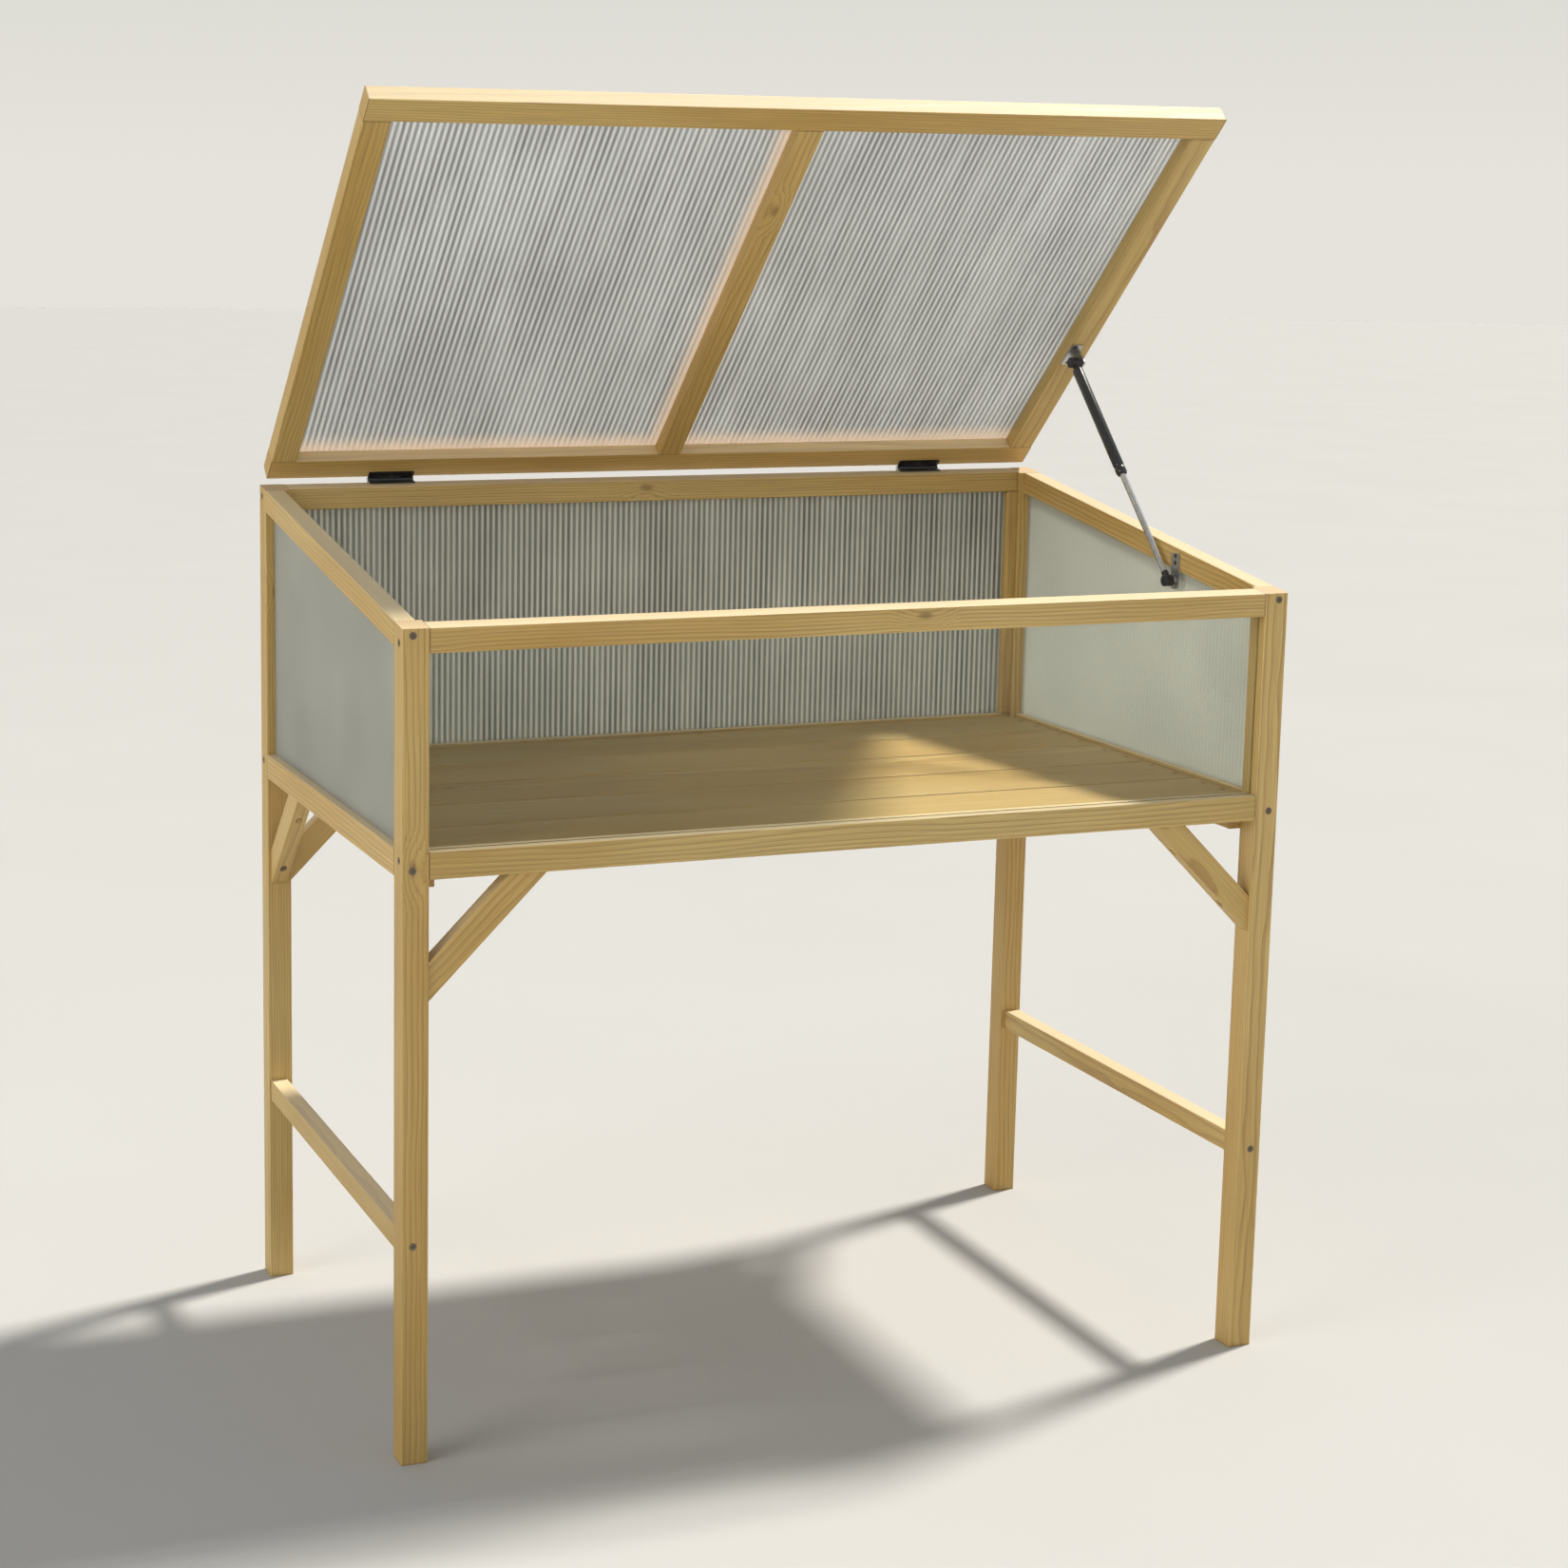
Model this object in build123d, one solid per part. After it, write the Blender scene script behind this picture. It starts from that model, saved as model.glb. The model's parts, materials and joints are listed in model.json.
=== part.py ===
from build123d import *
import os
from math import asin, atan2, cos, degrees, hypot, radians, sin, tan

# Raised cold frame on legs: a wooden frame with glazed sides and a glazed lid
# that swings up on two butt hinges and is held by one gas strut.
# X runs along the front, Y from front to back, Z up. All sizes in millimetres.

# ---------------------------------------------------------------- overall sizes
width = 1000.0               # across the outer faces of the posts
depth = 570.0                # from the front faces to the rear faces of the posts
front_height = 856.0         # top of the frame at its front face
back_height = 945.0          # top of the frame at its rear face
lid_open_angle = 44.1        # lid above the horizontal when it stands open

# ---------------------------------------------------------------- frame timber
post_size = 28.0             # square posts
rail_thickness = 22.0        # rails, across the wall
low_rail_bottom = 606.0
low_rail_height = 28.0
front_top_rail_height = 25.0
back_top_rail_height = 28.0
side_top_rail_height = 25.0  # square to the slope
stretcher_bottom = 219.0
stretcher_height = 24.0
stretcher_thickness = 20.0
stretcher_inset = 2.0
brace_reach = 125.0          # from the inner corner to the brace's far points
brace_width = 28.0
brace_thickness = 18.0
brace_inset = 4.0
timber_ease = 1.2            # rounding of the long edges

# ---------------------------------------------------------------- floor
ledger_thickness = 20.0
ledger_height = 28.0
ledger_drop = 14.0           # top of a ledger below the top of the low rail
board_thickness = 10.0
board_count = 5
board_gap = 5.0
board_side_gap = 1.0
board_ease = 0.8
board_screw_edge = 26.0      # a board's screws from its long edges
post_screw_edge = 36.0       # and from the edge beside the posts

# ---------------------------------------------------------------- glazing
wall_sheet = 4.0             # twin-wall sheet
sheet_skin = 0.5
rib_pitch = 7.0
pane_thickness = 3.0         # clear front pane
glazing_setback = 12.0       # outer face of the frame to the middle of the glazing
groove_depth = 5.0
groove_gap = 0.3

# ---------------------------------------------------------------- lid
lid_length = 592.0           # rear edge to front edge
lid_side_inset = 9.0         # lid edge inside the outer face of the posts
lid_thickness = 20.0
lid_member_width = 30.0
muntin_width = 28.0
rebate_depth = 4.5
ledge_width = 9.0
sheet_edge_gap = 0.5
lid_shut_gap = 0.3           # left under the front of the shut lid
dowel_diameter = 6.0
dowel_length = 40.0
dowel_spacing = 14.0
dowel_height = 8.0           # above the underside of the lid
dowel_gap = 0.05

# ---------------------------------------------------------------- hinges
hinge_width = 55.0
hinge_leaf_depth = 9.5
hinge_leaf_thickness = 1.5
hinge_leaf_gap = 0.5         # between the leaves of the shut hinge
knuckle_diameter = 6.0
knuckle_end_length = 14.0
knuckle_gap = 0.3
knuckle_clearance = 0.4      # knuckle to the rear faces
hinge_pin_diameter = 3.0
hinge_pin_fit = 0.08
hinge_pin_press = 0.02
hinge_centre = 343.0         # hinge middle from the middle of the frame
hinge_screw_spread = 19.0
hinge_screw_back = 5.2       # screws in front of the wood's rear face
hinge_corner_radius = 2.0

# ---------------------------------------------------------------- gas strut
strut_side_offset = 32.0     # strut axis inside the outer face of the posts
strut_lid_reach = 210.0      # upper pivot from the hinge pin, along the lid
strut_lid_drop = 14.0        # upper pivot below the underside of the lid
strut_foot_y = 187.0         # lower pivot behind the front face
strut_foot_z = 848.0
strut_tube_diameter = 13.0
strut_tube_wall = 1.0
strut_rod_diameter = 7.0
strut_rod_fit = 0.06
strut_piston_length = 8.0
strut_piston_fit = 0.1
strut_guide_length = 10.0
strut_cap_length = 2.0
strut_end_play = 2.0
ball_diameter = 9.0
ball_fit = 0.1
ball_neck_diameter = 5.0
socket_diameter = 13.0
socket_back = 6.5            # closed side of a socket, from the ball's middle
socket_front = 4.5           # open side of a socket, from the ball's middle
socket_mouth_diameter = 8.0
socket_stem_diameter = 8.0
socket_ease = 1.0
tube_ease = 0.6
upper_stem_length = 11.0     # ball's middle to the tube
lower_stem_length = 12.5     # ball's middle to the end of the lower stem
bracket_thickness = 2.0
bracket_length = 34.0
bracket_corner_radius = 3.0
bracket_screw_edge = 4.1     # lid bracket's screws from its ends
foot_bracket_width = 16.0
foot_bracket_hang = 10.0     # plate below the lower pivot
foot_boss_diameter = 8.0
foot_bracket_top_gap = 6.25  # plate below the top of the side rail
foot_screw_spread = 8.0      # from one screw to the next, up the plate
open_pivot_gap = 0.5
flange_edge = 8.0            # flange below the upper pivot
flange_width = 17.0
flange_clearance = 1.0       # flange to the inner face of the side rail

# ---------------------------------------------------------------- screws
screw_gap = 0.1              # a screw in its hole
head_sink = 0.3              # head below the face of the wood
hole_mouth = 1.0             # length of the hole cut above a head
screw_point = 0.25           # tip, as a share of the shank
slot_length = 0.55           # cross slots, as shares of the head
slot_width = 0.12
slot_depth = 0.12
long_screw = (4.0, 8.0, 60.0)       # shank diameter, head diameter, length
brace_screw = (4.0, 8.0, 40.0)
ledger_screw = (4.0, 8.0, 34.0)
board_screw = (3.0, 6.0, 25.0)
fitting_screw = (3.0, 5.6, 12.0)
sheet_screw = (3.0, 7.0, 12.0)
sheet_screw_head_height = 1.2
brace_screw_grip = 22.0      # length of a brace screw beyond the brace
brace_screw_drop = 93.0      # screw of an X brace, from the inner corner
side_brace_screw_drop = 103.0
low_rail_long_screw_up = 10.0    # along Y, above the bottom of the rail
low_rail_cross_screw_up = 19.0   # along X
front_top_cross_screw_up = 10.0
front_top_long_screw_up = 18.0
back_top_cross_screw_up = 16.0
back_top_long_screw_up = 8.0
ledger_screw_count = 3
ledger_screw_up = 21.0
sheet_screws_across = 3
sheet_screws_along = 2

# ---------------------------------------------------------------- worked-out places
half = width / 2
slope = degrees(atan2(back_height - front_height, depth))
low_rail_top = low_rail_bottom + low_rail_height
ledger_top = low_rail_top - ledger_drop
rail_run_x = width - 2 * post_size
rail_run_y = depth - 2 * post_size
top_rail_drop = side_top_rail_height / cos(radians(slope))
leaf_step = hinge_leaf_thickness + hinge_leaf_gap / 2
knuckle_radius = knuckle_diameter / 2
rear_step = knuckle_radius + knuckle_clearance


def top_at(y):
    """Height of the sloping top plane of the frame at depth y."""
    return front_height + y * tan(radians(slope))


pin_y = depth + rear_step
pin_z = top_at(pin_y) + leaf_step / cos(radians(slope))
front_lever = pin_y / cos(radians(slope))
shut_angle = slope + degrees(asin((2 * leaf_step - lid_shut_gap) / front_lever))
lid_half = half - lid_side_inset
strut_x = half - strut_side_offset
rail_inner_x = half - rail_thickness


def lid_point(along, up, angle):
    """Y and Z of a point of the lid: along from the pin, up from the pin's plane."""
    a = radians(angle)
    return pin_y - along * cos(a) + up * sin(a), pin_z + along * sin(a) + up * cos(a)


pivot_up = leaf_step - strut_lid_drop
upper_open = lid_point(strut_lid_reach, pivot_up, lid_open_angle)
upper_shut = lid_point(strut_lid_reach, pivot_up, -shut_angle)
strut_open = hypot(upper_open[0] - strut_foot_y, upper_open[1] - strut_foot_z)
strut_shut = hypot(upper_shut[0] - strut_foot_y, upper_shut[1] - strut_foot_z)
strut_stroke = strut_open - strut_shut
strut_tube_length = (
    strut_stroke + strut_piston_length + strut_guide_length + strut_cap_length + strut_end_play
)
strut_lean = degrees(atan2(upper_open[0] - strut_foot_y, upper_open[1] - strut_foot_z))

parts = {}


# ---------------------------------------------------------------- helpers
def block(x0, x1, y0, y1, z0, z1):
    """Box between two corners."""
    return Pos((x0 + x1) / 2, (y0 + y1) / 2, (z0 + z1) / 2) * Box(x1 - x0, y1 - y0, z1 - z0)


def timber(x0, x1, y0, y1, z0, z1, along, ease=timber_ease):
    """Planed bar with its long edges rounded."""
    bar = block(x0, x1, y0, y1, z0, z1)
    return fillet(bar.edges().filter_by(along), ease)


def rod_x(x0, x1, y, z, radius):
    """Round bar along X."""
    return Pos((x0 + x1) / 2, y, z) * Rot(Y=90) * Cylinder(radius, x1 - x0)


def screw(kind):
    """Countersunk screw: head face at the origin, shank down."""
    shank, head, length = kind
    cone = (head - shank) / 2
    tip = shank
    body = Pos(0, 0, -cone / 2) * Cone(shank / 2, head / 2, cone)
    body += Pos(0, 0, -cone - (length - cone - tip) / 2) * Cylinder(shank / 2, length - cone - tip)
    body += Pos(0, 0, -length + tip / 2) * Cone(shank * screw_point / 2, shank / 2, tip)
    for turn in (0, 90):
        body -= Rot(Z=turn) * Box(head * slot_length, head * slot_width, 2 * head * slot_depth)
    return body


def screw_hole(kind, sink=head_sink):
    """Hole that such a screw leaves, open above its head."""
    shank, head, length = kind
    cone = (head - shank) / 2
    hole = Pos(0, 0, -length / 2) * Cylinder(shank / 2 + screw_gap, length + 2 * screw_gap)
    hole += Pos(0, 0, -cone / 2) * Cone(shank / 2 + screw_gap, head / 2 + screw_gap, cone)
    hole += Pos(0, 0, (sink + hole_mouth) / 2) * Cylinder(head / 2 + screw_gap, sink + hole_mouth)
    return hole


def drive(name, kind, places, pieces, sink=head_sink):
    """Puts a screw at each place and its hole in the pieces that it passes through."""
    group = [place * screw(kind) for place in places]
    parts.setdefault(name, []).extend(group)
    for place in places:
        hole = place * screw_hole(kind, sink)
        box = hole.bounding_box()
        for piece in pieces:
            if near(parts[piece].bounding_box(), box):
                parts[piece] = parts[piece] - hole


def near(a, b):
    """Whether two boxes meet."""
    low = (a.min.X < b.max.X, a.min.Y < b.max.Y, a.min.Z < b.max.Z)
    high = (b.min.X < a.max.X, b.min.Y < a.max.Y, b.min.Z < a.max.Z)
    return all(low) and all(high)


def facing(x, y, z, turn_x=0.0, turn_y=0.0):
    """Place of a screw head. Unturned, the head faces up."""
    return Pos(x, y, z) * Rot(X=turn_x) * Rot(Y=turn_y)


def under_slope(shape):
    """The part of a shape below the sloping top plane of the frame."""
    y0, y1 = -2 * post_size, depth + 2 * post_size
    top = Polygon(
        (y0, -post_size), (y1, -post_size), (y1, top_at(y1)), (y0, top_at(y0)), align=None
    )
    plane = Plane(origin=(-width, 0, 0), x_dir=(0, 1, 0), z_dir=(1, 0, 0))
    return shape & extrude(plane * top, 2 * width)


def twin_wall(length, span, thickness=wall_sheet):
    """Twin-wall sheet centred on the origin, its channels along Y."""
    channel_count = int((span - 2 * sheet_skin) / rib_pitch)
    sheet = Rectangle(span, thickness)
    channels = GridLocations(rib_pitch, 1, channel_count, 1) * Rectangle(
        rib_pitch - sheet_skin, thickness - 2 * sheet_skin
    )
    plane = Plane(origin=(0, -length / 2, 0), x_dir=(1, 0, 0), z_dir=(0, 1, 0))
    return extrude(plane * (sheet - channels), length)


# ---------------------------------------------------------------- posts and rails
def make_posts():
    """Four legs, cut at the top along the slope."""
    for side, x0 in (("left", -half), ("right", half - post_size)):
        for row, y0 in (("front", 0.0), ("back", depth - post_size)):
            tall = timber(
                x0, x0 + post_size, y0, y0 + post_size, 0.0, back_height + post_size, Axis.Z
            )
            parts[f"{row}_{side}_post"] = under_slope(tall)


def make_end_rails():
    """Rails of the front and the back, between the posts."""
    x1 = rail_run_x / 2
    for row, y0, top_height, top in (
        ("front", 0.0, front_top_rail_height, front_height),
        ("back", depth - rail_thickness, back_top_rail_height, back_height),
    ):
        y1 = y0 + rail_thickness
        parts[f"{row}_bottom_rail"] = timber(
            -x1, x1, y0, y1, low_rail_bottom, low_rail_top, Axis.X
        )
        upper = block(-x1, x1, y0, y1, top - top_height, top + post_size)
        upper = under_slope(upper)
        parts[f"{row}_top_rail"] = fillet(upper.edges().filter_by(Axis.X), timber_ease)


def make_side_rails():
    """Level low rails, sloping top rails and stretchers of the two sides."""
    y0, y1 = post_size, depth - post_size
    for side, sign in (("left", -1), ("right", 1)):
        outer = sign * half
        inner = sign * (half - rail_thickness)
        x0, x1 = min(outer, inner), max(outer, inner)
        parts[f"{side}_bottom_rail"] = timber(
            x0, x1, y0, y1, low_rail_bottom, low_rail_top, Axis.Y
        )
        outline = Polygon(
            (y0, top_at(y0) - top_rail_drop),
            (y1, top_at(y1) - top_rail_drop),
            (y1, top_at(y1)),
            (y0, top_at(y0)),
            align=None,
        )
        plane = Plane(origin=(x0, 0, 0), x_dir=(0, 1, 0), z_dir=(1, 0, 0))
        bar = extrude(plane * outline, rail_thickness)
        long_edges = [e for e in bar.edges() if e.length > rail_run_y]
        parts[f"{side}_top_rail"] = fillet(long_edges, timber_ease)
        s_outer = sign * (half - stretcher_inset)
        s_inner = sign * (half - stretcher_inset - stretcher_thickness)
        parts[f"{side}_stretcher"] = timber(
            min(s_outer, s_inner),
            max(s_outer, s_inner),
            y0,
            y1,
            stretcher_bottom,
            stretcher_bottom + stretcher_height,
            Axis.Y,
        )


def rail_screws():
    """Long screws through the posts into the ends of the rails and stretchers."""
    across = rail_thickness / 2
    stretcher_mid = stretcher_inset + stretcher_thickness / 2
    front_base = front_height - front_top_rail_height
    back_base = back_height - back_top_rail_height
    rows = (
        ("front", across, head_sink, 90, front_base + front_top_cross_screw_up,
         front_base + front_top_long_screw_up),
        ("back", depth - across, depth - head_sink, -90, back_base + back_top_cross_screw_up,
         back_base + back_top_long_screw_up),
    )
    for side, sign in (("left", -1), ("right", 1)):
        for row, y_rail, y_head, turn, cross_z, long_z in rows:
            post = f"{row}_{side}_post"
            x_head = sign * (half - head_sink)
            cross = [
                facing(x_head, y_rail, z, 0, sign * 90)
                for z in (low_rail_bottom + low_rail_cross_screw_up, cross_z)
            ]
            drive(
                "frame_screws", long_screw, cross,
                [post, f"{row}_bottom_rail", f"{row}_top_rail"],
            )
            x_rail = sign * (half - across)
            x_stretcher = sign * (half - stretcher_mid)
            straight = [
                facing(x_rail, y_head, low_rail_bottom + low_rail_long_screw_up, turn),
                facing(x_rail, y_head, long_z, turn),
                facing(x_stretcher, y_head, stretcher_bottom + stretcher_height / 2, turn),
            ]
            drive(
                "frame_screws", long_screw, straight,
                [post, f"{side}_bottom_rail", f"{side}_top_rail", f"{side}_stretcher"],
            )


# ---------------------------------------------------------------- braces
def brace_outline():
    """Mitred bar below the corner at the origin, running out along +X and down."""
    inner = brace_reach - brace_width / cos(radians(45))
    return Polygon(
        (0, -inner), (0, -brace_reach), (brace_reach, 0), (inner, 0), align=None
    )


def make_braces():
    """Diagonal braces: one along X at each post, one along Y at each rear post."""
    corner_x = half - post_size
    for row, y0 in (
        ("front", brace_inset),
        ("back", depth - brace_inset - brace_thickness),
    ):
        for side, sign in (("left", 1), ("right", -1)):
            plane = Plane(
                origin=(-sign * corner_x, y0 + (brace_thickness if sign > 0 else 0),
                        low_rail_bottom),
                x_dir=(sign, 0, 0),
                z_dir=(0, -sign, 0),
            )
            name = f"{row}_{side}_brace"
            parts[name] = extrude(plane * brace_outline(), brace_thickness)
            middle = y0 + brace_thickness / 2
            grip = brace_screw[2] - brace_screw_grip
            drive(
                "brace_screws", brace_screw,
                [
                    facing(-sign * (corner_x - grip), middle,
                           low_rail_bottom - brace_screw_drop, 0, sign * 90),
                    facing(-sign * (corner_x - brace_screw_drop), middle,
                           low_rail_bottom - grip, 180),
                ],
                [name, f"{row}_{side}_post", f"{row}_bottom_rail"],
                brace_reach - brace_screw_drop,
            )
    corner_y = depth - post_size
    for side, sign in (("left", -1), ("right", 1)):
        outer = sign * (half - brace_inset)
        inner = sign * (half - brace_inset - brace_thickness)
        plane = Plane(
            origin=(min(outer, inner), corner_y, low_rail_bottom),
            x_dir=(0, -1, 0),
            z_dir=(-1, 0, 0),
        )
        name = f"{side}_side_brace"
        parts[name] = extrude(plane * brace_outline(), -brace_thickness)
        middle = sign * (half - brace_inset - brace_thickness / 2)
        grip = brace_screw[2] - brace_screw_grip
        drive(
            "brace_screws", brace_screw,
            [
                facing(middle, corner_y - grip,
                       low_rail_bottom - side_brace_screw_drop, 90),
                facing(middle, corner_y - brace_screw_drop, low_rail_bottom - grip, 180),
            ],
            [name, f"back_{side}_post", f"{side}_bottom_rail"],
            brace_reach - brace_screw_drop,
        )


# ---------------------------------------------------------------- floor
def make_floor():
    """Two ledgers on the side rails and the boards that lie on them."""
    for side, sign in (("left", -1), ("right", 1)):
        outer = sign * rail_inner_x
        inner = sign * (rail_inner_x - ledger_thickness)
        name = f"{side}_floor_ledger"
        parts[name] = timber(
            min(outer, inner), max(outer, inner), post_size, depth - post_size,
            ledger_top - ledger_height, ledger_top, Axis.Y,
        )
        step = rail_run_y / ledger_screw_count
        drive(
            "floor_screws", ledger_screw,
            [
                facing(
                    sign * (rail_inner_x - ledger_thickness + head_sink),
                    post_size + step * (i + 0.5),
                    ledger_top - ledger_height + ledger_screw_up,
                    0,
                    -sign * 90,
                )
                for i in range(ledger_screw_count)
            ],
            [name, f"{side}_bottom_rail"],
        )
    x1 = rail_inner_x - board_side_gap
    y0 = rail_thickness + board_side_gap
    room = depth - 2 * y0
    board_width = (room - (board_count - 1) * board_gap) / board_count
    screw_x = rail_inner_x - ledger_thickness / 2
    for i in range(board_count):
        front = y0 + i * (board_width + board_gap)
        first = front + (post_screw_edge if i == 0 else board_screw_edge)
        last = front + board_width - (
            post_screw_edge if i == board_count - 1 else board_screw_edge
        )
        name = f"floor_board_{i + 1}"
        board = timber(
            -x1, x1, front, front + board_width, ledger_top, ledger_top + board_thickness,
            Axis.X, board_ease,
        )
        for sign in (-1, 1):
            for y in (0.0, depth):
                corner = post_size + board_side_gap
                board -= Pos(sign * half, y, ledger_top) * Box(
                    2 * corner, 2 * corner, 4 * board_thickness
                )
        parts[name] = board
        drive(
            "floor_screws", board_screw,
            [
                facing(sign * screw_x, y, ledger_top + board_thickness - head_sink)
                for sign in (-1, 1)
                for y in (first, last)
            ],
            [name, "left_floor_ledger", "right_floor_ledger"],
        )


# ---------------------------------------------------------------- glazing of the walls
def wall_glazing():
    """Sheets of the sides and the back and the clear front pane, in grooves."""
    hold = groove_depth - groove_gap
    z0 = low_rail_top - hold
    y0, y1 = post_size - hold, depth - post_size + hold
    rise = hold / cos(radians(slope)) - top_rail_drop
    for side, sign in (("left", -1), ("right", 1)):
        x = sign * (half - glazing_setback)
        tall = top_at(y1) + rise
        sheet = Pos(x, depth / 2, (z0 + tall) / 2) * Rot(Z=90) * Rot(X=90) * twin_wall(
            tall - z0, y1 - y0
        )
        parts[f"{side}_side_panel"] = cut_to_slope(sheet, rise)
        cutter = cut_to_slope(
            block(
                x - wall_sheet / 2 - groove_gap, x + wall_sheet / 2 + groove_gap,
                y0 - groove_gap, y1 + groove_gap, z0 - groove_gap, tall + post_size,
            ),
            rise + groove_gap,
        )
        groove([f"front_{side}_post", f"back_{side}_post", f"{side}_bottom_rail",
                f"{side}_top_rail"], cutter)
    x1 = half - post_size + hold
    z1 = back_height - back_top_rail_height + hold
    y = depth - glazing_setback
    parts["back_panel"] = Pos(0, y, (z0 + z1) / 2) * Rot(X=90) * twin_wall(z1 - z0, 2 * x1)
    end_groove("back", x1, y, wall_sheet, z0, z1)
    z1 = front_height - front_top_rail_height + hold
    y = glazing_setback
    parts["front_pane"] = block(
        -x1, x1, y - pane_thickness / 2, y + pane_thickness / 2, z0, z1
    )
    end_groove("front", x1, y, pane_thickness, z0, z1)


def cut_to_slope(shape, rise):
    """The part of a shape below the slope moved up by rise."""
    return Pos(0, 0, rise) * under_slope(Pos(0, 0, -rise) * shape)


def groove(names, cutter):
    """Cuts a groove into each named piece."""
    for name in names:
        parts[name] = parts[name] - cutter


def end_groove(row, x1, y, thickness, z0, z1):
    """Groove for the sheet of the front or the back."""
    deep = thickness / 2 + groove_gap
    cutter = block(
        -x1 - groove_gap, x1 + groove_gap, y - deep, y + deep, z0 - groove_gap, z1 + groove_gap
    )
    groove([f"{row}_left_post", f"{row}_right_post", f"{row}_bottom_rail",
            f"{row}_top_rail"], cutter)


# ---------------------------------------------------------------- lid
# The lid is made flat, with the hinge pin at the origin and its free edge
# towards -Y, and is then turned up to its open place.
def on_lid(shape):
    """Turns a piece made in the lid's flat frame to the open lid."""
    return Pos(0, pin_y, pin_z) * Rot(X=-lid_open_angle) * shape


def make_lid():
    """Lid frame with rebates for two sheets, its dowels, sheets and their screws."""
    low, high = leaf_step, leaf_step + lid_thickness
    rear = -rear_step
    front = rear - lid_length
    inner_rear = rear - lid_member_width
    inner_front = front + lid_member_width
    members = {
        "lid_back_rail": timber(-lid_half, lid_half, inner_rear, rear, low, high, Axis.X),
        "lid_front_rail": timber(-lid_half, lid_half, front, inner_front, low, high, Axis.X),
    }
    stiles = (
        ("lid_left_stile", -lid_half, -lid_half + lid_member_width),
        ("lid_right_stile", lid_half - lid_member_width, lid_half),
        ("lid_muntin", -muntin_width / 2, muntin_width / 2),
    )
    for name, x0, x1 in stiles:
        members[name] = timber(x0, x1, inner_front, inner_rear, low, high, Axis.Y)
    dowels = []
    for name, x0, x1 in stiles:
        for y in (inner_front, inner_rear):
            for side in (-1, 1):
                place = Pos((x0 + x1) / 2 + side * dowel_spacing / 2, y, low + dowel_height)
                dowels.append(place * Rot(X=90) * Cylinder(dowel_diameter / 2, dowel_length))
                hole = place * Rot(X=90) * Cylinder(
                    dowel_diameter / 2 + dowel_gap, dowel_length + 2 * dowel_gap
                )
                for member in (name, "lid_back_rail", "lid_front_rail"):
                    if near(members[member].bounding_box(), hole.bounding_box()):
                        members[member] = members[member] - hole
    openings = (
        ("lid_left_panel", -lid_half + lid_member_width, -muntin_width / 2),
        ("lid_right_panel", muntin_width / 2, lid_half - lid_member_width),
    )
    seat = high - rebate_depth
    sheet_screws = []
    for name, x0, x1 in openings:
        x0, x1 = x0 - ledge_width, x1 + ledge_width
        y0, y1 = inner_front - ledge_width, inner_rear + ledge_width
        sheet = Pos((x0 + x1) / 2, (y0 + y1) / 2, seat + wall_sheet / 2) * twin_wall(
            y1 - y0, x1 - x0
        )
        recess = block(
            x0 - sheet_edge_gap, x1 + sheet_edge_gap, y0 - sheet_edge_gap, y1 + sheet_edge_gap,
            seat, high + rebate_depth,
        )
        for member in members:
            members[member] = members[member] - recess
        edge = ledge_width / 2
        spots = []
        for i in range(sheet_screws_across):
            x = x0 + edge + (x1 - x0 - 2 * edge) * (i + 0.5) / sheet_screws_across
            spots += [(x, y0 + edge), (x, y1 - edge)]
        for i in range(sheet_screws_along):
            y = y0 + edge + (y1 - y0 - 2 * edge) * (i + 0.5) / sheet_screws_along
            spots += [(x0 + edge, y), (x1 - edge, y)]
        for x, y in spots:
            place = Pos(x, y, seat + wall_sheet)
            sheet_screws.append(place * pan_screw())
            hole = place * pan_hole()
            sheet -= hole
            for member in members:
                if near(members[member].bounding_box(), hole.bounding_box()):
                    members[member] = members[member] - hole
        parts[name] = on_lid(sheet)
    for name, member in members.items():
        parts[name] = on_lid(member)
    parts["lid_dowels"] = [on_lid(d) for d in dowels]
    parts["lid_panel_screws"] = [on_lid(s) for s in sheet_screws]


def pan_screw():
    """Screw with a flat round head that rests on the sheet."""
    shank, head, length = sheet_screw
    tip = shank
    body = Pos(0, 0, sheet_screw_head_height / 2) * Cylinder(head / 2, sheet_screw_head_height)
    body = fillet(body.edges().sort_by(Axis.Z)[-1], sheet_screw_head_height / 3)
    body += Pos(0, 0, -(length - tip) / 2) * Cylinder(shank / 2, length - tip)
    body += Pos(0, 0, -length + tip / 2) * Cone(shank * screw_point / 2, shank / 2, tip)
    for turn in (0, 90):
        body -= Pos(0, 0, sheet_screw_head_height) * Rot(Z=turn) * Box(
            head * slot_length, head * slot_width, 2 * head * slot_depth
        )
    return body


def pan_hole():
    """Hole of such a screw."""
    shank, head, length = sheet_screw
    return Pos(0, 0, -length / 2) * Cylinder(shank / 2 + screw_gap, length + 2 * screw_gap)


# ---------------------------------------------------------------- hinges
def on_frame_top(shape):
    """Turns a piece made flat about the pin to the slope of the frame's top."""
    return Pos(0, pin_y, pin_z) * Rot(X=slope) * shape


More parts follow.
